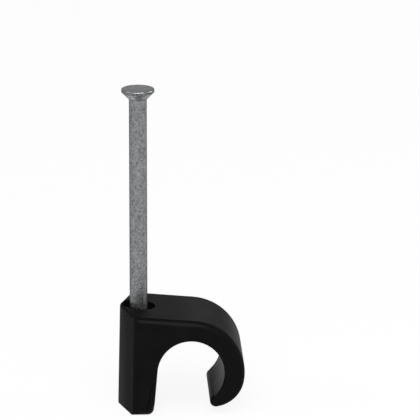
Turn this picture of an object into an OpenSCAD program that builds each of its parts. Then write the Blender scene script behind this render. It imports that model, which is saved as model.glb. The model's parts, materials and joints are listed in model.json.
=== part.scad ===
// Nail-in cable clip: a moulded hook clip with the nail standing in its post.
// Z is the nail axis, Z = 0 is the wall and the hook reaches out along +X.

/* [Cable seat] */
// Diameter of the round seat that holds the cable
seat_d = 7.5; // [7.2:0.02:7.6]
// Distance from the nail axis to the cable axis
seat_offset = 5.7; // [5.6:0.02:5.9]
// Height of the cable axis above the wall
seat_height = 4.93; // [4.7:0.01:5.3]
// Width of the clip along the cable
clip_width = 10.8; // [9:0.1:13]

/* [Hook] */
// Wall of the hook outside the cable seat
hook_wall = 2.29; // [2.2:0.01:2.6]
// Angle below the cable axis at which the outside of the hook tightens
tip_start = 10; // [2:1:15]
// Outer radius of the hook from there to the nose
tip_radius = 3.62; // [3.5:0.02:3.8]
// Angle below the cable axis at which the seat ends in the lip
lip_angle = 44.5; // [42:0.5:48]
// Slope of the lead-in that runs from the lip to the nose
lead_in_slope = 58; // [54:1:62]
// Rounding of the nose
nose_radius = 0.5; // [0.4:0.05:0.6]
// Fall of the top from the nail towards the hook
top_fall = 5; // [3:0.5:7]

/* [Post] */
// Radius of the boss that stands round the nail
post_radius = 2.22; // [2.15:0.01:2.4]
// Slant of the two end facets on either side of the boss
end_slant = 17; // [13:0.5:20]
// Draft of the end facets
post_draft = 1.2; // [0.5:0.1:2]
// Lean of the post wall that faces the cable
wall_lean = 5; // [3:0.5:7]
// Rounding at the foot of the post wall
foot_radius = 0.75; // [0.5:0.05:0.9]

/* [Edges] */
// Rounding along the sides of the top, the hook and the base
edge_radius = 0.62; // [0.4:0.02:0.7]
// Rounding between the post end and the top
end_top_radius = 0.35; // [0.25:0.05:0.6]
// Rounding between the post end and the base
end_base_radius = 0.1; // [0.1:0.05:0.6]
// Rounding of the upright corners of the post
corner_radius = 3; // [2:0.1:3.6]

/* [Nail] */
// Diameter of the shank
shank_d = 2; // [1.8:0.05:2.1]
// Length of the nail from point to head
nail_length = 35; // [30:0.5:40]
// Height of the point above the wall before the nail is driven
nail_lift = 1.6; // [0.5:0.1:2.5]
// Diameter of the head
head_d = 3.7; // [3.4:0.05:3.8]
// Height of the straight rim of the head
head_rim = 0.35; // [0.25:0.05:0.45]
// Bevel round the top of the head
head_bevel = 0.1; // [0.05:0.01:0.15]
// Slope of the cone under the head
head_slope = 45; // [40:1:50]
// Length of the four-sided point
point_length = 3; // [2:0.25:4]

/* [Fits] */
// Radial clearance between the shank and its bore
bore_clearance = 0.03; // [0.01:0.01:0.1]
// Radial clearance between the head and its recess
head_clearance = 0.05; // [0.03:0.01:0.1]
// Depth of the straight part of the head recess
recess_depth = 1.1; // [0.9:0.05:1.3]

/* [Hidden] */
$fn = 96;
plastic_color = [0.09, 0.09, 0.1];
zinc_color = [0.55, 0.56, 0.57];
// Distance by which cuts run past the faces they open
margin = 1;
// Height by which a rounding crosses the faces that it runs out into
crossing = 0.004;
// Angle by which an arc of the hook is carried past its end
overrun = 25;

seat_r = seat_d / 2;
outer_r = seat_r + hook_wall;
half_width = clip_width / 2;
seat_axis = [seat_offset, seat_height];
tip_axis = seat_axis + polar(-tip_start, outer_r - tip_radius);
top_angle = 90 - top_fall;
top_at_nail = seat_height + (outer_r + seat_offset * sin(top_fall)) / cos(top_fall);
post_middle = [0, 0, top_at_nail / 2];
// Length that covers the clip from any point inside it
span = 4 * (seat_offset + outer_r);

lip = seat_axis + polar(-lip_angle, seat_r);
lead_in = -polar(lead_in_slope);
nose_line = lip + polar(lead_in_slope - 90, nose_radius);
nose_start = nose_line - tip_axis;
nose_reach = tip_radius - nose_radius + 2 * crossing;
nose_along = nose_start * lead_in;
nose_run = sqrt(pow(nose_along, 2) - nose_start * nose_start + pow(nose_reach, 2)) - nose_along;
nose_axis = nose_line + nose_run * lead_in;
nose_end = atan2(nose_axis.y - tip_axis.y, nose_axis.x - tip_axis.x);
tip_turn = overrun - nose_end - tip_start;

wall_start = seat_axis + polar(180 - wall_lean, seat_r - crossing);
foot_x = (wall_start * polar(-wall_lean) - foot_radius * (1 - sin(wall_lean))) / cos(wall_lean);
foot_axis = [foot_x, foot_radius];

crease = half_width * tan(end_slant) - post_radius / cos(end_slant);
corner_axis = [crease + corner_radius * (1 / cos(end_slant) - tan(end_slant)), half_width - corner_radius];
// Turns of the cuts that carry the rounded top edge round the corners
corner_cuts = 3;
corner_step = (90 - end_slant) / (corner_cuts + 1);

shank_r = shank_d / 2;
head_r = head_d / 2;
nail_top = nail_lift + nail_length;
rim_height = nail_top - head_rim;
neck_height = rim_height - (head_r - shank_r) * tan(head_slope);
point_angle = atan(shank_r / point_length);

bore_r = shank_r + bore_clearance;
recess_r = head_r + head_clearance;
recess_floor = top_at_nail - recess_depth;
bore_top = recess_floor - (recess_r - bore_r) * tan(head_slope);

// A face is a normal and its distance from the origin
front_face = [[0, -1, 0], half_width];
back_face = [[0, 1, 0], half_width];
base_face = [[0, 0, -1], 0];
top_normal = [sin(top_fall), 0, cos(top_fall)];
top_face = [top_normal, top_normal * [seat_axis.x, 0, seat_axis.y] + outer_r];

// Point at an angle and a radius
function polar(angle, radius = 1) = radius * [cos(angle), sin(angle)];

// Normal of the post end where it is turned away from the middle
function end_normal(turn) = [-cos(turn) * cos(post_draft), sin(turn), cos(turn) * sin(post_draft)];

// Face that touches the boss where it is turned away from the middle
function end_face(turn) = [end_normal(turn), post_radius + crossing + end_normal(turn) * post_middle];

// Face that touches a rounded corner of the post where it is turned away from the middle
function corner_face(turn) = [
    end_normal(turn),
    corner_radius + crossing + abs(sin(turn)) * corner_axis.y - cos(turn) * corner_axis.x
        + end_normal(turn) * post_middle
];

// Stands flat shapes up in the XZ plane, turned about a centre
module turned_at(centre, angle) {
    translate([centre.x, 0, centre.y])
    rotate([90, 0, 0])
    rotate([0, 0, angle])
    children();
}

// Waste outside a rounded corner that starts on the X axis and turns by an angle
module corner_waste(turn, radius, reach = margin) {
    inner = radius + crossing;
    outer = radius + reach;
    difference() {
        polygon([
            polar(0, inner),
            polar(0, outer),
            polar(turn / 2, outer / cos(turn / 2)),
            polar(turn, outer),
            polar(turn, inner)
        ]);
        circle(inner);
    }
}

// Waste outside a rounded edge between two faces
module edge_waste(face_1, face_2, radius) {
    lean = face_1[0] * face_2[0];
    spread = 1 - lean * lean;
    depth_1 = face_1[1] - radius;
    depth_2 = face_2[1] - radius;
    centre = ((depth_1 - lean * depth_2) * face_1[0] + (depth_2 - lean * depth_1) * face_2[0]) / spread;
    along = cross(face_1[0], face_2[0]) / sqrt(spread);
    across = cross(along, face_1[0]);
    multmatrix([for (row = [0:2]) [face_1[0][row], across[row], along[row], centre[row]]])
    linear_extrude(span, center = true)
    corner_waste(acos(lean), radius);
}

// Outline of the post from above, with its end facets, boss and corners
module post_outline() {
    difference() {
        polygon([
            [-post_radius / cos(end_slant), 0],
            [crease, -half_width],
            [span, -half_width],
            [span, half_width],
            [crease, half_width]
        ]);
        rotate([0, 0, 180 - end_slant])
        corner_waste(2 * end_slant, post_radius);
        for (side = [0, 1])
            mirror([0, side, 0])
            translate(corner_axis)
            rotate([0, 0, 90])
            corner_waste(90 - end_slant, corner_radius);
    }
}

// Side of the clip: post, sloping top, hook, nose and the space for the cable
module side_outline() {
    hook_x = seat_offset + outer_r + margin / 2;
    wall_drop = (wall_start.y + margin) / cos(wall_lean);
    lead_drop = (lip.y + margin) / sin(lead_in_slope);
    difference() {
        polygon([
            [-span, 0],
            [hook_x, 0],
            [hook_x, top_at_nail - hook_x * tan(top_fall)],
            [-span, top_at_nail + span * tan(top_fall)]
        ]);
        translate(seat_axis)
        rotate([0, 0, -overrun])
        corner_waste(overrun + top_angle, outer_r);
        translate(tip_axis)
        rotate([0, 0, nose_end - overrun])
        corner_waste(tip_turn, tip_radius + crossing, seat_height);
        translate(seat_axis)
        circle(seat_r);
        polygon([
            wall_start,
            wall_start + polar(-90 - wall_lean, wall_drop),
            lip + lead_drop * lead_in,
            lip,
            seat_axis
        ]);
        translate(nose_axis)
        rotate([0, 0, 90 + lead_in_slope])
        corner_waste(270 + nose_end - lead_in_slope, nose_radius);
        translate(foot_axis)
        rotate([0, 0, -90])
        corner_waste(90 - wall_lean, foot_radius);
    }
}

// Side outline carried through the width, within the outline from above
module clip_block() {
    intersection() {
        rotate([90, 0, 0])
        linear_extrude(clip_width + 2 * margin, center = true)
        side_outline();
        translate(post_middle)
        rotate([0, post_draft, 0])
        linear_extrude(span, center = true)
        post_outline();
    }
}

// Waste outside both rounded rims of an arc of the hook
module rim_waste(centre, start, turn, radius) {
    for (side = [0, 1])
        mirror([0, side, 0])
        turned_at(centre, start)
        rotate_extrude(angle = turn)
        translate([radius - edge_radius, half_width - edge_radius])
        corner_waste(90, edge_radius);
}

// Bore and head recess that the nail is driven through
module nail_way() {
    rotate_extrude()
    polygon([
        [0, -margin],
        [bore_r, -margin],
        [bore_r, bore_top],
        [recess_r, recess_floor],
        [recess_r, top_at_nail + margin],
        [0, top_at_nail + margin]
    ]);
}

// Rounded edges of the boss
module boss_edges() {
    edge_waste(end_face(0), top_face, end_top_radius);
    edge_waste(end_face(0), base_face, end_base_radius);
}

// Rounded edges of the end facets and the foot
module post_edges() {
    for (turn = [-end_slant, end_slant]) {
        edge_waste(end_face(turn), top_face, end_top_radius);
        edge_waste(end_face(turn), base_face, end_base_radius);
    }
    for (face = [front_face, back_face])
        edge_waste(face, base_face, edge_radius);
}

// Rounded edges of the top and the hook
module hook_edges() {
    edge_waste(front_face, top_face, edge_radius);
    edge_waste(back_face, top_face, edge_radius);
    rim_waste(seat_axis, -overrun, overrun + top_angle, outer_r + crossing);
    rim_waste(tip_axis, nose_end - overrun, tip_turn, tip_radius + 3 * crossing);
}

// Clip block with the edges of its top and hook rounded
module rounded_block() {
    difference() {
        clip_block();
        hook_edges();
    }
}

// Rounded block with the boss rounded and the way for the nail cut through
module bored_block() {
    difference() {
        rounded_block();
        boss_edges();
        nail_way();
    }
}

// Bored block with the edges of the end facets and the foot rounded
module edged_block() {
    difference() {
        bored_block();
        post_edges();
    }
}

// Edged block with the top edge carried round its corners, one pair of cuts after another
module cornered_block(cuts) {
    difference() {
        if (cuts > 1) cornered_block(cuts - 1);
        else edged_block();
        for (side = [-1, 1])
            edge_waste(corner_face(side * (end_slant + cuts * corner_step)), top_face, end_top_radius);
    }
}

// Moulded clip: post, top, hook and nose in one piece
module clip_body() {
    color(plastic_color)
    cornered_block(corner_cuts);
}

// Nail with a countersunk head and a four-sided point
module nail() {
    color(zinc_color)
    difference() {
        rotate_extrude()
        polygon([
            [0, nail_lift],
            [shank_r, nail_lift],
            [shank_r, neck_height],
            [head_r, rim_height],
            [head_r, nail_top - head_bevel],
            [head_r - head_bevel, nail_top],
            [0, nail_top]
        ]);
        for (turn = [0:90:270])
            translate([0, 0, nail_lift])
            rotate([0, point_angle, turn])
            translate([0, -shank_d, -shank_d])
            cube([shank_d, 2 * shank_d, 2 * shank_d + point_length]);
    }
}

clip_body();
nail();
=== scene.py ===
"""Looks of a nail-in cable clip: satin black moulding, dull zinc nail, white studio floor."""

import json
import math

import bmesh
import bpy
from mathutils import Matrix, Vector


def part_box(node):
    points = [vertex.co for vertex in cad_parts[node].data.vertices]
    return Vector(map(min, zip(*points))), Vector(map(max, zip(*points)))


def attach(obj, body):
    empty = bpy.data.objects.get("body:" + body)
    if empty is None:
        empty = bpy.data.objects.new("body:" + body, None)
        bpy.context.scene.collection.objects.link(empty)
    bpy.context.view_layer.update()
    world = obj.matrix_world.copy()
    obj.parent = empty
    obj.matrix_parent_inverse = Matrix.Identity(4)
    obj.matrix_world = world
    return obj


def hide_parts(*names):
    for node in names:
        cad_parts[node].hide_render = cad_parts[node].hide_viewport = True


bl_info = {
    "name": "Nail-in Cable Clip",
    "version": (1, 0, 0),
    "blender": (4, 5, 0),
    "location": "View3D > Sidebar > Cable Clip",
    "description": "Models the moulded clip and its nail, and sets up the studio",
    "category": "Object",
}

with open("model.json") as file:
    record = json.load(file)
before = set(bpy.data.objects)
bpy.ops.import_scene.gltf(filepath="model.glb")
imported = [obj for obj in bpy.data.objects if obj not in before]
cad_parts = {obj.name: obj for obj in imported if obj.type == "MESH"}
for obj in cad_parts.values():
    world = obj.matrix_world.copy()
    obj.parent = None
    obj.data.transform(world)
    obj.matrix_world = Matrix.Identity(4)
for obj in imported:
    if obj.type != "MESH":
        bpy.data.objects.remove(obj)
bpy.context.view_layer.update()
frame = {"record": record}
CLIP_LOW, CLIP_HIGH = (Vector(corner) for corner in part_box("clip_body"))
NAIL_LOW, NAIL_HIGH = (Vector(corner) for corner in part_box("nail"))
CABLE = next(mount for mount in frame["record"]["mounts"] if mount["name"] == "cable_seat")

MM = 0.001
PHOTO_SIZE = 420
PIXELS_PER_MM = 8.93
SENSOR = 36.0
CAMERA_REACH = 20.0
FLOOR_REACH = 6.0

SEAT_AXIS = Vector(CABLE["pos_m"])
SEAT_RADIUS = CABLE["dims"]["r_mm"] * MM
HOOK_RADIUS = CLIP_HIGH.x - SEAT_AXIS.x
HALF_WIDTH = CLIP_HIGH.y
HEAD_RADIUS = NAIL_HIGH.x
ACROSS = Vector((0.0, 1.0, 0.0))
UP = Vector((0.0, 0.0, 1.0))

RIM_STEPS = 8
LIP_STEPS = 4
HEAD_STEPS = 5
TURN_STEPS = 96
ARC_STEP = math.radians(2.0)
FLAT = math.radians(0.1)
SHARP = math.radians(32.0)
LEAVING = math.radians(5.0)
TOUCHING = 1e-7
CROSSING = 0.003 * MM

LAMPS = (  # name, place and size in metres, power in watts
    ("front_softbox", (0.0, -0.35, 0.42), 0.5, 3.4),
    ("back_softbox", (0.02, 0.5, 0.16), 0.22, 0.3),
    ("right_softbox", (0.45, 0.12, 0.15), 0.3, 0.6),
    ("left_softbox", (-0.45, -0.02, 0.25), 0.3, 0.4),
)


def polar(angle, radius=1.0):
    """A step in the side plane, at an angle above the X axis."""
    return Vector((math.cos(angle), 0.0, math.sin(angle))) * radius


def steps_for(angle):
    """Number of facets that keep an arc smooth."""
    return max(2, math.ceil(abs(angle) / ARC_STEP))


def of_kind(items, kind):
    """The items of one kind: verts, edges or faces."""
    return [item for item in items if isinstance(item, kind)]


def rim_chain(shape, surface, outward, radius):
    """Half a cross-section of the clip: from its side face, round the rim, to its middle."""
    inside = surface - outward * radius
    start = shape.verts.new(inside - ACROSS * HALF_WIDTH)
    before = set(shape.edges)
    arc = bmesh.ops.spin(
        shape,
        geom=[start],
        cent=inside - ACROSS * (HALF_WIDTH - radius),
        axis=outward.cross(ACROSS),
        angle=math.pi / 2,
        steps=RIM_STEPS,
    )
    middle = shape.verts.new(surface)
    shape.edges.new((of_kind(arc["geom_last"], bmesh.types.BMVert)[0], middle))
    edges = [edge for edge in shape.edges if edge not in before]
    return [*dict.fromkeys(vert for edge in edges for vert in edge.verts), *edges]


def carry(shape, chain, centre=(0.0, 0.0, 0.0), angle=0.0, drift=(0.0, 0.0, 0.0)):
    """Sweeps a chain round a centre or along a straight drift, and returns its far end."""
    steps = steps_for(angle) if angle else 1
    swept = bmesh.ops.spin(shape, geom=chain, cent=centre, axis=ACROSS, dvec=drift, angle=angle, steps=steps)
    return swept["geom_last"]


def join(shape, first, second):
    """Bridges two chains and returns the second."""
    bmesh.ops.bridge_loops(shape, edges=of_kind(first + second, bmesh.types.BMEdge))
    return second


def spin_outline(shape, outline):
    """Turns an outline of radius and height round the nail axis into a closed solid."""
    verts = [shape.verts.new((radius, 0.0, height)) for radius, height in outline]
    edges = [shape.edges.new(pair) for pair in zip(verts, verts[1:])]
    bmesh.ops.spin(
        shape,
        geom=[*verts, *edges],
        cent=(0.0, 0.0, 0.0),
        axis=UP,
        angle=2 * math.pi,
        steps=TURN_STEPS,
        use_merge=True,
    )
    bmesh.ops.remove_doubles(shape, verts=shape.verts, dist=TOUCHING)
    bmesh.ops.recalc_face_normals(shape, faces=shape.faces)


def shade(shape):
    """Smooth faces with sharp edges where the surface turns hard."""
    for face in shape.faces:
        face.smooth = True
    for edge in shape.edges:
        edge.smooth = edge.is_manifold and edge.calc_face_angle() < SHARP


def add_object(name, data):
    """Links a new object at the origin, with its mesh, light or camera data."""
    made = bpy.data.objects.new(name, data)
    bpy.context.scene.collection.objects.link(made)
    return made


def finished(name, shape):
    """Turns a bmesh into a new object at the origin."""
    mesh = bpy.data.meshes.new(name)
    shape.to_mesh(mesh)
    shape.free()
    return add_object(name, mesh)


def cut_by(operation, shape, tool_shape):
    """Cuts a closed shape with another by an exact boolean, and returns the result."""
    piece = finished("cut_piece", shape)
    tool = finished("cutter", tool_shape)
    cut = piece.modifiers.new("cut", "BOOLEAN")
    cut.operation = operation
    cut.solver = "EXACT"
    cut.object = tool
    mesh = bpy.data.meshes.new_from_object(piece.evaluated_get(bpy.context.evaluated_depsgraph_get()))
    result = bmesh.new()
    result.from_mesh(mesh)
    bpy.data.meshes.remove(mesh)
    remove(piece)
    remove(tool)
    return result


def remove(piece):
    """Deletes an object and its mesh."""
    mesh = piece.data
    bpy.data.objects.remove(piece)
    bpy.data.meshes.remove(mesh)


def even_normals(piece):
    """Keeps the large flat faces flat in the shading."""
    weighted = piece.modifiers.new("even_normals", "WEIGHTED_NORMAL")
    weighted.keep_sharp = True


class Shade:
    """A shader socket; arithmetic on it adds Math nodes to its tree."""

    def __init__(self, tree, socket=None):
        self.tree = tree
        self.socket = socket

    def node(self, kind, settings=None, inputs=None, output=0):
        """Adds a node, sets it up, feeds its sockets and returns one of its outputs."""
        made = self.tree.nodes.new(kind)
        for name, value in (settings or {}).items():
            setattr(made, name, value)
        for name, value in (inputs or {}).items():
            if isinstance(value, Shade):
                self.tree.links.new(value.socket, made.inputs[name])
            else:
                made.inputs[name].default_value = value
        return Shade(self.tree, made.outputs[output] if made.outputs else None)

    def math(self, operation, first, second):
        """One Math node on two values or sockets."""
        return self.node("ShaderNodeMath", {"operation": operation}, {0: first, 1: second})

    def __add__(self, other):
        return self.math("ADD", self, other)

    def __radd__(self, other):
        return self.math("ADD", other, self)

    def __sub__(self, other):
        return self.math("SUBTRACT", self, other)

    def __rsub__(self, other):
        return self.math("SUBTRACT", other, self)

    def __mul__(self, other):
        return self.math("MULTIPLY", self, other)

    def __rmul__(self, other):
        return self.math("MULTIPLY", other, self)

    def mix(self, first, second):
        """A colour between two colours, by this value."""
        inputs = {"Factor": self, 6: first, 7: second}
        return self.node("ShaderNodeMix", {"data_type": "RGBA"}, inputs, 2)


def grey(value):
    """A neutral colour with full alpha."""
    return (value, value, value, 1.0)


def new_tree(name):
    """An empty material, and a Shade to grow its nodes from."""
    material = bpy.data.materials.new(name)
    material.use_nodes = True
    material.node_tree.nodes.clear()
    return material, Shade(material.node_tree)


def close_tree(start, surface):
    """Joins the finished surface to the material output."""
    start.node("ShaderNodeOutputMaterial", None, {"Surface": surface})


def object_coordinates(start, stretch=(1.0, 1.0, 1.0)):
    """Object coordinates in millimetres, stretched along each axis."""
    place = start.node("ShaderNodeTexCoord", None, None, "Object")
    scale = [1.0 / MM / part for part in stretch]
    return start.node("ShaderNodeMapping", None, {"Vector": place, "Scale": scale})


def noise(start, vector, scale, detail=3.0, roughness=0.55):
    """Soft cloudy noise from 0 to 1; scale counts features per millimetre."""
    inputs = {"Vector": vector, "Scale": scale, "Detail": detail, "Roughness": roughness}
    return start.node("ShaderNodeTexNoise", None, inputs, "Fac")


def ramp(start, value, low, high):
    """The value spread from 0 at low to 1 at high, and held outside."""
    inputs = {"Value": value, "From Min": low, "From Max": high}
    return start.node("ShaderNodeMapRange", {"clamp": True}, inputs)


def band(start, value, rise, fall):
    """1 between two slopes; each is where the value gives 0 and where it gives 1."""
    return ramp(start, value, *rise) * ramp(start, value, *fall)


def coordinate(start, place, axis):
    """One coordinate of a place."""
    return start.node("ShaderNodeSeparateXYZ", None, {"Vector": place}, axis)


def tinted(tone, share):
    """A colour made darker or lighter, with full alpha."""
    return (*(part * share for part in tone), 1.0)


def rim_mask(start, place, width):
    """1 on the rounded rims of the top and the hook, 0 on the flat faces; width in millimetres."""
    out = start.math("ABSOLUTE", coordinate(start, place, "Y"), 0.0)
    side = HALF_WIDTH / MM
    rounded = band(start, out, (side - width, side - 0.8 * width), (side, side - 0.05 * width))
    return rounded * band(start, coordinate(start, place, "X"), (-0.3, 0.1), (9.5, 6.0))


def seat_mask(start, place):
    """1 on the round cable seat, 0 outside it."""
    centre = start.node("ShaderNodeCombineXYZ", None, {"X": SEAT_AXIS.x / MM, "Z": SEAT_AXIS.z / MM})
    flat = start.node("ShaderNodeVectorMath", {"operation": "MULTIPLY"}, {0: place, 1: (1.0, 0.0, 1.0)}, 0)
    distance = start.node("ShaderNodeVectorMath", {"operation": "DISTANCE"}, {0: flat, 1: centre}, "Value")
    radius = SEAT_RADIUS / MM
    return ramp(start, distance, radius + 0.15, radius + 0.05)


def end_mask(start, place):
    """1 at the far end of the hook and on the boss, fading to 0 between them."""
    along = coordinate(start, place, "X")
    return start.math("MAXIMUM", ramp(start, along, 4.0, CLIP_HIGH.x / MM), ramp(start, along, -1.3, -2.1))


def smoothness(start, place, look, rim_width):
    """How much less rough than the flat faces the rims, the cable seat and the ends are."""
    rim = rim_mask(start, place, rim_width / MM) * (look.plastic_roughness - look.rim_roughness)
    seat = seat_mask(start, place) * (look.plastic_roughness - look.seat_roughness)
    ends = end_mask(start, place) * (look.plastic_roughness - look.end_roughness)
    return start.math("MAXIMUM", start.math("MAXIMUM", rim, seat), ends)


def black_plastic(look, rim_width):
    """Satin black moulding with a fine spark-eroded grain and smoother rims, seat and ends."""
    material, start = new_tree("satin_black_plastic")
    place = object_coordinates(start)
    cloud = ramp(start, noise(start, place, 0.45), 0.3, 0.7)
    grain = noise(start, place, 9.0, 2.0)
    smoother = smoothness(start, place, look, rim_width)
    rough = look.plastic_roughness - smoother + (cloud - 0.5) * 0.06 + (grain - 0.5) * 0.08
    bump = start.node("ShaderNodeBump", None, {"Strength": 0.12, "Distance": 0.02 * MM, "Height": grain})
    inputs = {
        "Base Color": cloud.mix(tinted(look.plastic_colour, 1.0), tinted(look.plastic_colour, 1.5)),
        "Roughness": rough,
        "Specular IOR Level": look.plastic_gloss,
        "Normal": bump,
    }
    close_tree(start, start.node("ShaderNodeBsdfPrincipled", None, inputs))
    return material


def pit_mask(start, place, neck):
    """1 in the dark pits that wander over the shank, in broken lines; neck in millimetres."""
    wander = start.math("ABSOLUTE", noise(start, place, 2.7, 1.0) - 0.5, 0.0)
    lines = ramp(start, wander, 0.06, 0.015) * ramp(start, noise(start, place, 1.9, 2.0), 0.38, 0.52)
    return lines * ramp(start, coordinate(start, place, "Z"), neck + 0.3, neck)


def head_masks(start, place, neck):
    """Painted highlights (broken glints on the top edge, a lighter cone) and a painted shadow line round the
    head of the nail; neck in millimetres.
    """
    height = coordinate(start, place, "Z")
    top = NAIL_HIGH.z / MM
    broken = ramp(start, noise(start, place, 2.2, 2.0), 0.4, 0.56)
    # painted highlight: broken glints along the rounded top edge of the head
    edge = band(start, height, (top - 0.14, top - 0.08), (top - 0.005, top - 0.02))
    # painted sheen: the cone under the head is lightened
    cone = band(start, height, (neck + 0.1, neck + 0.3), (top - 0.3, top - 0.4))
    # painted shadow: a dark broken ring on the head rim under its top edge
    painted_shadow_line = band(start, height, (top - 0.44, top - 0.34), (top - 0.1, top - 0.14))
    return start.math("MAXIMUM", edge * broken, cone * broken * 0.7), painted_shadow_line * (broken * 0.6 + 0.4)


def dull_zinc(look, neck):
    """Dull zinc plating: grainy, with dark pits on the shank, and painted glints and a painted shadow line on
    the head.
    """
    material, start = new_tree("dull_zinc_plate")
    place = object_coordinates(start)
    drawn = object_coordinates(start, (0.25, 0.25, 4.0))
    mottle = ramp(start, noise(start, place, 0.9, 4.0), 0.32, 0.68)
    grain = ramp(start, noise(start, place, 4.5, 2.0), 0.35, 0.65)
    lines = noise(start, drawn, 1.5, 2.0)
    pits = pit_mask(start, place, neck / MM)
    # painted highlights and a painted shadow line for the head
    painted_glints, painted_shadow_line = head_masks(start, place, neck / MM)

    tone = look.zinc_colour
    plate = (mottle * 0.3 + grain * 0.7).mix(tinted(tone, 0.56), tinted(tone, 1.0))
    plate = (pits * 0.75).mix(plate, tinted(tone, 0.3))
    # painted highlights: the head's top edge and cone mixed towards a brighter tone
    plate = painted_glints.mix(plate, tinted(tone, 1.75))
    rough = look.zinc_roughness + (mottle - 0.5) * 0.1 + pits * 0.12 + (lines - 0.5) * 0.06
    relief = grain * 0.6 - pits * 0.8 + lines * 0.3
    bump = start.node("ShaderNodeBump", None, {"Strength": 0.5, "Distance": 0.04 * MM, "Height": relief})
    inputs = {
        # the painted shadow line on the head rim darkens the colour here
        "Base Color": painted_shadow_line.mix(plate, tinted(tone, 0.3)),
        "Metallic": 1.0,
        "Roughness": rough,
        "Specular Tint": grey(look.zinc_edge),
        "Normal": bump,
    }
    close_tree(start, start.node("ShaderNodeBsdfPrincipled", None, inputs))
    return material


def studio_white(stage):
    """White floor that stays white to the camera and keeps a soft shadow."""
    material, start = new_tree("studio_white")
    camera = start.node("ShaderNodeLightPath", None, None, "Is Camera Ray")
    glossy = start.node("ShaderNodeLightPath", None, None, "Is Glossy Ray")
    through = start.node("ShaderNodeLightPath", None, None, "Is Transmission Ray")
    seen = start.math("MINIMUM", camera + glossy + through, 1.0) * stage.floor_whiteness
    lit = start.node("ShaderNodeBsdfDiffuse", None, {"Color": grey(stage.floor_tone)})
    white = start.node("ShaderNodeEmission", None, {"Color": grey(1.0), "Strength": 1.0})
    close_tree(start, start.node("ShaderNodeMixShader", None, {0: seen, 1: lit, 2: white}))
    return material


class ClipSizes(bpy.types.PropertyGroup):
    """Shapes of the moulded clip and the nail."""

    top_fall: bpy.props.FloatProperty(
        name="Top fall",
        description="Slope of the top from the nail towards the hook",
        default=math.radians(5.0),
        subtype="ANGLE",
    )
    tip_start: bpy.props.FloatProperty(
        name="Tip start",
        description="Angle below the cable axis at which the outside of the hook tightens",
        default=math.radians(10.0),
        subtype="ANGLE",
    )
    tip_radius: bpy.props.FloatProperty(
        name="Tip radius",
        description="Outer radius of the hook from there to the nose",
        default=3.62 * MM,
        unit="LENGTH",
    )
    lip_angle: bpy.props.FloatProperty(
        name="Lip angle",
        description="Angle below the cable axis at which the seat ends in the lip",
        default=math.radians(46.3),
        subtype="ANGLE",
    )
    lead_in_slope: bpy.props.FloatProperty(
        name="Lead-in slope",
        description="Slope of the lead-in from the lip to the nose",
        default=math.radians(29.0),
        subtype="ANGLE",
    )
    nose_radius: bpy.props.FloatProperty(
        name="Nose radius",
        description="Rounding of the nose",
        default=0.66 * MM,
        unit="LENGTH",
    )
    wall_lean: bpy.props.FloatProperty(
        name="Wall lean",
        description="Lean of the post wall that faces the cable",
        default=math.radians(5.0),
        subtype="ANGLE",
    )
    foot_radius: bpy.props.FloatProperty(
        name="Foot radius",
        description="Rounding at the foot of the post wall",
        default=0.75 * MM,
        unit="LENGTH",
    )
    post_radius: bpy.props.FloatProperty(
        name="Post radius",
        description="Radius of the boss round the nail",
        default=2.22 * MM,
        unit="LENGTH",
    )
    end_slant: bpy.props.FloatProperty(
        name="End slant",
        description="Slant of the end facets on either side of the boss",
        default=math.radians(17.0),
        subtype="ANGLE",
    )
    post_draft: bpy.props.FloatProperty(
        name="Post draft",
        description="Draft of the end facets",
        default=math.radians(1.2),
        subtype="ANGLE",
    )
    corner_radius: bpy.props.FloatProperty(
        name="Corner radius",
        description="Rounding of the upright corners of the post",
        default=0.6 * MM,
        unit="LENGTH",
    )
    edge_radius: bpy.props.FloatProperty(
        name="Edge radius",
        description="Rounding along the sides of the top and the foot",
        default=0.85 * MM,
        unit="LENGTH",
    )
    tip_rim: bpy.props.FloatProperty(
        name="Tip rim",
        description="Rounding along the sides of the hook where it has narrowed towards the tip",
        default=0.55 * MM,
        unit="LENGTH",
    )
    nose_rim: bpy.props.FloatProperty(
        name="Nose rim",
        description="Rounding of the ends of the nose",
        default=0.56 * MM,
        unit="LENGTH",
    )
    seat_rim: bpy.props.FloatProperty(
        name="Seat rim",
        description="Rounding of the ends of the cable seat",
        default=0.22 * MM,
        unit="LENGTH",
    )
    end_radius: bpy.props.FloatProperty(
        name="End radius",
        description="Rounding between the post end, the sides and the top",
        default=0.35 * MM,
        unit="LENGTH",
    )
    base_radius: bpy.props.FloatProperty(
        name="Base radius",
        description="Rounding between the post end and the base",
        default=0.1 * MM,
        unit="LENGTH",
    )
    lip_radius: bpy.props.FloatProperty(
        name="Lip radius",
        description="Rounding of the lip",
        default=0.07 * MM,
        unit="LENGTH",
    )
    bore_radius: bpy.props.FloatProperty(
        name="Bore radius",
        description="Radius of the bore that grips the nail",
        default=1.03 * MM,
        unit="LENGTH",
    )
    recess_radius: bpy.props.FloatProperty(
        name="Recess radius",
        description="Radius of the recess that takes the nail head",
        default=1.9 * MM,
        unit="LENGTH",
    )
    recess_depth: bpy.props.FloatProperty(
        name="Recess depth",
        description="Depth of the straight part of the recess",
        default=1.1 * MM,
        unit="LENGTH",
    )
    shank_radius: bpy.props.FloatProperty(
        name="Shank radius",
        description="Radius of the nail's shank",
        default=1.0 * MM,
        unit="LENGTH",
    )
    head_rim: bpy.props.FloatProperty(
        name="Head rim",
        description="Height of the straight rim of the nail head",
        default=0.35 * MM,
        unit="LENGTH",
    )
    head_rounding: bpy.props.FloatProperty(
        name="Head rounding",
        description="Rounding round the top of the nail head",
        default=0.1 * MM,
        unit="LENGTH",
    )
    rim_rounding: bpy.props.FloatProperty(
        name="Rim rounding",
        description="Rounding between the rim of the nail head and its cone",
        default=0.06 * MM,
        unit="LENGTH",
    )
    neck_rounding: bpy.props.FloatProperty(
        name="Neck rounding",
        description="Rounding between the cone under the head and the shank",
        default=0.1 * MM,
        unit="LENGTH",
    )
    point_length: bpy.props.FloatProperty(
        name="Point length",
        description="Length of the nail's four-sided point",
        default=3.0 * MM,
        unit="LENGTH",
    )


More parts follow.
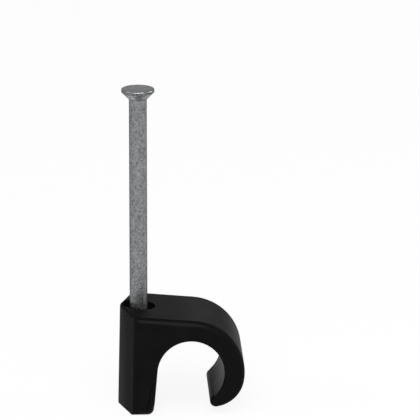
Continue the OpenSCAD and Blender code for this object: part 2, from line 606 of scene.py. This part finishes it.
class ClipLooks(bpy.types.PropertyGroup):
    """Colours and finishes of the two pieces."""

    plastic_colour: bpy.props.FloatVectorProperty(
        name="Plastic colour",
        description="Colour of the moulded clip",
        default=(0.003, 0.003, 0.0032),
        subtype="COLOR",
    )
    plastic_roughness: bpy.props.FloatProperty(
        name="Plastic roughness",
        description="Roughness of the moulded surface",
        default=0.7,
        subtype="FACTOR",
    )
    rim_roughness: bpy.props.FloatProperty(
        name="Rim roughness",
        description="Roughness of the rounded rims",
        default=0.3,
        subtype="FACTOR",
    )
    end_roughness: bpy.props.FloatProperty(
        name="End roughness",
        description="Roughness at the far end of the hook and on the boss",
        default=0.5,
        subtype="FACTOR",
    )
    seat_roughness: bpy.props.FloatProperty(
        name="Seat roughness",
        description="Roughness of the cable seat",
        default=0.45,
        subtype="FACTOR",
    )
    plastic_gloss: bpy.props.FloatProperty(
        name="Plastic gloss",
        description="Specular level of the moulded surface",
        default=0.042,
        subtype="FACTOR",
    )
    zinc_colour: bpy.props.FloatVectorProperty(
        name="Zinc colour",
        description="Colour of the nail's plating",
        default=(0.345, 0.349, 0.357),
        subtype="COLOR",
    )
    zinc_edge: bpy.props.FloatProperty(
        name="Zinc edge",
        description="How bright the plating stays where it turns away",
        default=0.35,
        subtype="FACTOR",
    )
    zinc_roughness: bpy.props.FloatProperty(
        name="Zinc roughness",
        description="Roughness of the nail's plating",
        default=0.4,
        subtype="FACTOR",
    )


class ClipStage(bpy.types.PropertyGroup):
    """Floor, even light and camera."""

    azimuth: bpy.props.FloatProperty(
        name="Azimuth",
        description="Camera direction round the nail",
        default=math.radians(-2.4),
        subtype="ANGLE",
    )
    elevation: bpy.props.FloatProperty(
        name="Elevation",
        description="Camera direction above the floor",
        default=math.radians(16.0),
        subtype="ANGLE",
    )
    distance: bpy.props.FloatProperty(
        name="Distance",
        description="Distance from the camera to the nail",
        default=0.6,
        unit="LENGTH",
    )
    view_width: bpy.props.FloatProperty(
        name="View width",
        description="Width that the picture spans at the nail",
        default=PHOTO_SIZE / PIXELS_PER_MM * MM,
        unit="LENGTH",
    )
    target: bpy.props.FloatVectorProperty(
        name="Target",
        description="Point in the middle of the picture",
        default=(8.04 * MM, 0.0, 22.46 * MM),
        subtype="TRANSLATION",
    )
    floor_tone: bpy.props.FloatProperty(
        name="Floor tone",
        description="Grey level of the floor",
        default=0.85,
        subtype="FACTOR",
    )
    floor_whiteness: bpy.props.FloatProperty(
        name="Floor whiteness",
        description="Share of plain white in what the camera sees of the floor",
        default=0.9,
        subtype="FACTOR",
    )
    world_level: bpy.props.FloatProperty(
        name="World level",
        description="Strength of the even light from all round",
        default=0.3,
    )


class CABLECLIP_OT_clip(bpy.types.Operator):
    """Model the moulded clip: post, sloping top, hook and nose in one piece"""

    bl_idname = "cable_clip.clip"
    bl_label = "Model Clip"

    def execute(self, context):
        sizes = context.scene.clip_sizes
        shape = self.half_clip(sizes)
        half = [*shape.verts, *shape.edges, *shape.faces]
        bmesh.ops.mirror(shape, geom=half, axis="Y", merge_dist=TOUCHING)
        bmesh.ops.contextual_create(shape, geom=[edge for edge in shape.edges if edge.is_boundary])
        bmesh.ops.recalc_face_normals(shape, faces=shape.faces)
        bmesh.ops.dissolve_limit(shape, angle_limit=FLAT, verts=shape.verts, edges=shape.edges)
        self.round_lip(shape, sizes)
        shape = cut_by("INTERSECT", shape, self.post_form(sizes))
        shape = cut_by("DIFFERENCE", shape, self.nail_way(sizes))
        shade(shape)
        piece = finished("moulded_clip", shape)
        even_normals(piece)
        piece.data.materials.append(black_plastic(context.scene.clip_looks, sizes.edge_radius))
        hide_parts("clip_body")
        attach(piece, "clip")
        return {"FINISHED"}

    def half_clip(self, sizes):
        """Front half of the clip: its skin swept along the side outline, closed by the side face."""
        shape = bmesh.new()
        beyond = CLIP_LOW.x - sizes.edge_radius
        top = math.pi / 2 - sizes.top_fall
        along = polar(-sizes.top_fall)
        top_end = SEAT_AXIS + polar(top, HOOK_RADIUS)
        top_run = along * (top_end.x - beyond) / along.x
        tip_axis = SEAT_AXIS + polar(-sizes.tip_start, HOOK_RADIUS - sizes.tip_radius)
        lip = SEAT_AXIS + polar(-sizes.lip_angle, SEAT_RADIUS)
        nose_axis = self.nose_axis(sizes, tip_axis, lip)
        nose_end = math.atan2(nose_axis.z - tip_axis.z, nose_axis.x - tip_axis.x)
        nose_gap = sizes.tip_rim / sizes.tip_radius

        chain = rim_chain(shape, top_end - top_run, polar(top), sizes.edge_radius)
        chain = carry(shape, chain, drift=top_run)
        chain = self.taper_rim(shape, chain, top, sizes)
        chain = carry(shape, chain, tip_axis, -nose_end - nose_gap - sizes.tip_start)
        nose_out = polar(nose_end)
        nose = rim_chain(shape, nose_axis + nose_out * sizes.nose_radius, nose_out, sizes.nose_rim)
        chain = join(shape, chain, nose)
        chain = carry(shape, chain, nose_axis, nose_end + 1.5 * math.pi - sizes.lead_in_slope)
        seat = rim_chain(shape, lip, -polar(-sizes.lip_angle), sizes.seat_rim)
        chain = join(shape, chain, seat)
        chain = carry(shape, chain, SEAT_AXIS, sizes.wall_lean - sizes.lip_angle - math.pi)
        self.post_wall(shape, chain, sizes, beyond)
        self.close_side(shape)
        return shape

    def taper_rim(self, shape, chain, start, sizes):
        """Skin of the hook from the top to the tip, with a rim that narrows on the way."""
        turn = start + sizes.tip_start
        steps = steps_for(turn)
        for count in range(1, steps + 1):
            share = count / steps
            outward = polar(start - turn * share)
            radius = sizes.edge_radius + (sizes.tip_rim - sizes.edge_radius) * share
            rim = rim_chain(shape, SEAT_AXIS + outward * HOOK_RADIUS, outward, radius)
            chain = join(shape, chain, rim)
        return chain

    def nose_axis(self, sizes, tip_axis, lip):
        """Centre of the nose: inside the tip's curve and under the lead-in."""
        lead_in = -polar(sizes.lead_in_slope)
        line = lip + polar(sizes.lead_in_slope - math.pi / 2, sizes.nose_radius)
        start = line - tip_axis
        along = start.dot(lead_in)
        reach = sizes.tip_radius - sizes.nose_radius
        return line + lead_in * (math.sqrt(along**2 - start.length_squared + reach**2) - along)

    def post_wall(self, shape, chain, sizes, beyond):
        """Wall of the post from the seat to the foot, and the base under it."""
        outward = polar(-sizes.wall_lean)
        down = polar(-sizes.wall_lean - math.pi / 2)
        wall_top = SEAT_AXIS - polar(-sizes.wall_lean, SEAT_RADIUS)
        foot_top = CLIP_LOW.z + sizes.foot_radius * (1.0 - math.sin(sizes.wall_lean))
        wall_foot = wall_top + down * (foot_top - wall_top.z) / down.z
        foot_axis = wall_foot - outward * sizes.foot_radius
        chain = carry(shape, chain, drift=wall_foot - down * sizes.edge_radius - wall_top)
        foot = rim_chain(shape, wall_foot, outward, sizes.edge_radius)
        chain = join(shape, chain, foot)
        chain = carry(shape, chain, foot_axis, math.pi / 2 - sizes.wall_lean)
        carry(shape, chain, drift=Vector((beyond - foot_axis.x, 0.0, 0.0)))

    def close_side(self, shape):
        """Side face of the clip, within the rims of the skin."""
        rim = [
            edge
            for edge in shape.edges
            if edge.is_boundary and all(abs(vert.co.y + HALF_WIDTH) < TOUCHING for vert in edge.verts)
        ]
        verts = [vert for edge in rim for vert in edge.verts]
        rim.append(shape.edges.new([vert for vert in verts if verts.count(vert) == 1]))
        bmesh.ops.contextual_create(shape, geom=rim)

    def post_form(self, sizes):
        """A long block with the rounded end of the post, trimmed along the sloping top and the base."""
        shape = bmesh.new()
        self.post_outline(shape, sizes)
        bmesh.ops.mirror(shape, geom=[*shape.verts, *shape.edges], axis="Y", merge_dist=TOUCHING)
        ends = [vert for vert in shape.verts if len(vert.link_edges) == 1]
        shape.edges.new(ends)
        bmesh.ops.contextual_create(shape, geom=shape.edges)
        raised = bmesh.ops.extrude_face_region(shape, geom=shape.faces[:])
        tall = 2.0 * CLIP_HIGH.z
        bmesh.ops.translate(shape, verts=of_kind(raised["geom"], bmesh.types.BMVert), vec=UP * tall)
        bmesh.ops.translate(shape, verts=shape.verts, vec=UP * (CLIP_HIGH.z - tall) / 2)
        middle = UP * self.top_height(sizes) / 2
        draft = Matrix.Rotation(sizes.post_draft, 3, ACROSS)
        bmesh.ops.rotate(shape, verts=shape.verts, cent=middle, matrix=draft)
        bmesh.ops.recalc_face_normals(shape, faces=shape.faces)
        top_out = polar(math.pi / 2 - sizes.top_fall)
        self.trim_form(shape, UP * self.top_height(sizes), top_out, sizes.end_radius)
        self.trim_form(shape, UP * CLIP_LOW.z, -UP, sizes.base_radius)
        return shape

    def post_outline(self, shape, sizes):
        """Front half of the post from above: boss, end facet, corner, and on past the hook."""
        slant = sizes.end_slant
        crease = HALF_WIDTH * math.tan(slant) - sizes.post_radius / math.cos(slant)
        inset = sizes.corner_radius * (1.0 / math.cos(slant) - math.tan(slant))
        corner = Vector((crease + inset, sizes.corner_radius - HALF_WIDTH, 0.0))
        facet_out = Vector((-math.cos(slant), -math.sin(slant), 0.0))
        boss = shape.verts.new((-sizes.post_radius, 0.0, 0.0))
        boss_end = self.turn_point(shape, boss, Vector(), slant)
        corner_start = shape.verts.new(corner + facet_out * sizes.corner_radius)
        shape.edges.new((boss_end, corner_start))
        corner_end = self.turn_point(shape, corner_start, corner, math.pi / 2 - slant - LEAVING)
        away = Vector((math.cos(LEAVING), -math.sin(LEAVING), 0.0))
        far = shape.verts.new(corner_end.co + away * 2.0 * CLIP_HIGH.x)
        shape.edges.new((corner_end, far))

    def turn_point(self, shape, point, centre, angle):
        """Draws an arc from a point round an upright axis, and returns its far end."""
        arc = bmesh.ops.spin(shape, geom=[point], cent=centre, axis=UP, angle=angle, steps=steps_for(angle))
        return of_kind(arc["geom_last"], bmesh.types.BMVert)[0]

    def trim_form(self, shape, point, outward, radius):
        """Trims the block along a face and rounds the new edge."""
        cut = bmesh.ops.bisect_plane(
            shape,
            geom=[*shape.verts, *shape.edges, *shape.faces],
            dist=TOUCHING,
            plane_co=point + outward * CROSSING,
            plane_no=outward,
            clear_outer=True,
        )
        rim = of_kind(cut["geom_cut"], bmesh.types.BMEdge)
        bmesh.ops.contextual_create(shape, geom=rim)
        bmesh.ops.bevel(
            shape, geom=rim, affect="EDGES", offset=radius, segments=RIM_STEPS, profile=0.5, material=-1
        )

    def top_height(self, sizes):
        """Height of the top at the nail."""
        rise = (HOOK_RADIUS + SEAT_AXIS.x * math.sin(sizes.top_fall)) / math.cos(sizes.top_fall)
        return SEAT_AXIS.z + rise

    def round_lip(self, shape, sizes):
        """Rounds the lip between the seat and the lead-in."""
        lip = SEAT_AXIS + polar(-sizes.lip_angle, SEAT_RADIUS)
        edges = [
            edge
            for edge in shape.edges
            if all((vert.co - lip).xz.length < CROSSING for vert in edge.verts)
            and abs(edge.verts[0].co.y - edge.verts[1].co.y) > HALF_WIDTH
        ]
        bmesh.ops.bevel(
            shape,
            geom=edges,
            affect="EDGES",
            offset=sizes.lip_radius,
            segments=LIP_STEPS,
            profile=0.5,
            material=-1,
        )

    def nail_way(self, sizes):
        """Bore and recess that the nail is driven through."""
        top = self.top_height(sizes)
        floor = top - sizes.recess_depth
        step = sizes.recess_radius - sizes.bore_radius
        shape = bmesh.new()
        spin_outline(shape, (
            (0.0, CLIP_LOW.z - sizes.recess_depth),
            (sizes.bore_radius, CLIP_LOW.z - sizes.recess_depth),
            (sizes.bore_radius, floor - step),
            (sizes.recess_radius, floor),
            (sizes.recess_radius, top + sizes.recess_depth),
            (0.0, top + sizes.recess_depth),
        ))
        return shape


class CABLECLIP_OT_nail(bpy.types.Operator):
    """Model the zinc-plated nail with its countersunk head and four-sided point"""

    bl_idname = "cable_clip.nail"
    bl_label = "Model Nail"

    def execute(self, context):
        sizes = context.scene.clip_sizes
        shape = bmesh.new()
        rim = NAIL_HIGH.z - sizes.head_rim
        spin_outline(shape, (
            (0.0, NAIL_LOW.z),
            (sizes.shank_radius, NAIL_LOW.z),
            (sizes.shank_radius, self.neck_height(sizes)),
            (HEAD_RADIUS, rim),
            (HEAD_RADIUS, NAIL_HIGH.z),
            (0.0, NAIL_HIGH.z),
        ))
        self.round_head(shape, sizes)
        self.cut_point(shape, sizes)
        shade(shape)
        piece = finished("zinc_nail", shape)
        even_normals(piece)
        piece.data.materials.append(dull_zinc(context.scene.clip_looks, self.neck_height(sizes)))
        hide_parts("nail")
        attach(piece, "nail")
        return {"FINISHED"}

    def neck_height(self, sizes):
        """Height of the neck, where the cone under the head meets the shank."""
        return NAIL_HIGH.z - sizes.head_rim - (HEAD_RADIUS - sizes.shank_radius)

    def round_head(self, shape, sizes):
        """Rounds the top of the head, its lower rim and the neck."""
        rounded = (
            (NAIL_HIGH.z, sizes.head_rounding),
            (NAIL_HIGH.z - sizes.head_rim, sizes.rim_rounding),
            (self.neck_height(sizes), sizes.neck_rounding),
        )
        for height, radius in rounded:
            ring = [
                edge
                for edge in shape.edges
                if all(abs(vert.co.z - height) < TOUCHING for vert in edge.verts)
                and all(vert.co.xy.length > sizes.shank_radius - TOUCHING for vert in edge.verts)
            ]
            bmesh.ops.bevel(
                shape, geom=ring, affect="EDGES", offset=radius, segments=HEAD_STEPS, profile=0.5, material=-1
            )

    def cut_point(self, shape, sizes):
        """Four flats that meet in the point."""
        lean = math.atan(sizes.shank_radius / sizes.point_length)
        for turn in range(4):
            angle = turn * math.pi / 2
            level = Vector((math.cos(angle), math.sin(angle), 0.0))
            outward = level * math.cos(lean) - UP * math.sin(lean)
            cut = bmesh.ops.bisect_plane(
                shape,
                geom=[*shape.verts, *shape.edges, *shape.faces],
                dist=TOUCHING,
                plane_co=(0.0, 0.0, NAIL_LOW.z),
                plane_no=outward,
                clear_outer=True,
            )
            bmesh.ops.contextual_create(shape, geom=of_kind(cut["geom_cut"], bmesh.types.BMEdge))
        bmesh.ops.remove_doubles(shape, verts=shape.verts, dist=TOUCHING)
        bmesh.ops.recalc_face_normals(shape, faces=shape.faces)


class CABLECLIP_OT_stage(bpy.types.Operator):
    """Set up the white floor, the lamps and the camera"""

    bl_idname = "cable_clip.stage"
    bl_label = "Set Up Studio"

    def execute(self, context):
        stage = context.scene.clip_stage
        context.scene.view_settings.view_transform = "Standard"
        self.add_floor(stage)
        self.add_world(context.scene, stage)
        for name, place, size, power in LAMPS:
            self.add_lamp(name, place, size, power)
        self.add_camera(context.scene, stage)
        return {"FINISHED"}

    def add_floor(self, stage):
        """A wide white floor under the foot of the post."""
        shape = bmesh.new()
        bmesh.ops.create_grid(shape, x_segments=1, y_segments=1, size=FLOOR_REACH)
        floor = finished("floor", shape)
        floor.data.materials.append(studio_white(stage))
        floor.location.z = CLIP_LOW.z

    def add_world(self, scene, stage):
        """Even light from all round."""
        world = bpy.data.worlds.new("studio")
        world.use_nodes = True
        world.node_tree.nodes.clear()
        start = Shade(world.node_tree)
        sky = start.node("ShaderNodeBackground", None, {"Color": grey(1.0), "Strength": stage.world_level})
        start.node("ShaderNodeOutputWorld", None, {"Surface": sky})
        scene.world = world

    def add_lamp(self, name, place, size, power):
        """A square softbox that faces the clip."""
        light = bpy.data.lights.new(name, "AREA")
        light.size = size
        light.energy = power
        lamp = add_object(name, light)
        lamp.location = place
        lamp.rotation_euler = (-Vector(place)).to_track_quat("-Z", "Y").to_euler()

    def add_camera(self, scene, stage):
        """A long lens at the picture's angle."""
        data = bpy.data.cameras.new("camera")
        data.sensor_width = SENSOR
        data.lens = SENSOR * stage.distance / stage.view_width
        data.clip_end = CAMERA_REACH
        camera = add_object("camera", data)
        level = math.cos(stage.elevation)
        back = Vector((
            math.sin(stage.azimuth) * level,
            -math.cos(stage.azimuth) * level,
            math.sin(stage.elevation),
        ))
        camera.location = Vector(stage.target) + back * stage.distance
        camera.rotation_euler = (-back).to_track_quat("-Z", "Y").to_euler()
        scene.camera = camera


class CABLECLIP_PT_panel(bpy.types.Panel):
    """Steps that make the clip"""

    bl_label = "Cable Clip"
    bl_idname = "CABLECLIP_PT_panel"
    bl_space_type = "VIEW_3D"
    bl_region_type = "UI"
    bl_category = "Cable Clip"

    def draw(self, context):
        for step in STEPS:
            self.layout.operator(step.bl_idname)
        scene = context.scene
        for group in (scene.clip_sizes, scene.clip_looks, scene.clip_stage):
            box = self.layout.box()
            for name in group.__annotations__:
                box.prop(group, name)


STEPS = (CABLECLIP_OT_clip, CABLECLIP_OT_nail, CABLECLIP_OT_stage)
CLASSES = (ClipSizes, ClipLooks, ClipStage, *STEPS, CABLECLIP_PT_panel)


def register():
    """Adds the classes and the scene's settings."""
    for each in CLASSES:
        bpy.utils.register_class(each)
    bpy.types.Scene.clip_sizes = bpy.props.PointerProperty(type=ClipSizes)
    bpy.types.Scene.clip_looks = bpy.props.PointerProperty(type=ClipLooks)
    bpy.types.Scene.clip_stage = bpy.props.PointerProperty(type=ClipStage)


def unregister():
    """Removes the scene's settings and the classes."""
    del bpy.types.Scene.clip_stage
    del bpy.types.Scene.clip_looks
    del bpy.types.Scene.clip_sizes
    for each in reversed(CLASSES):
        bpy.utils.unregister_class(each)


def main():
    """Makes the clip."""
    register()
    bpy.ops.cable_clip.clip()
    bpy.ops.cable_clip.nail()
    bpy.ops.cable_clip.stage()


if __name__ == "__main__":
    main()
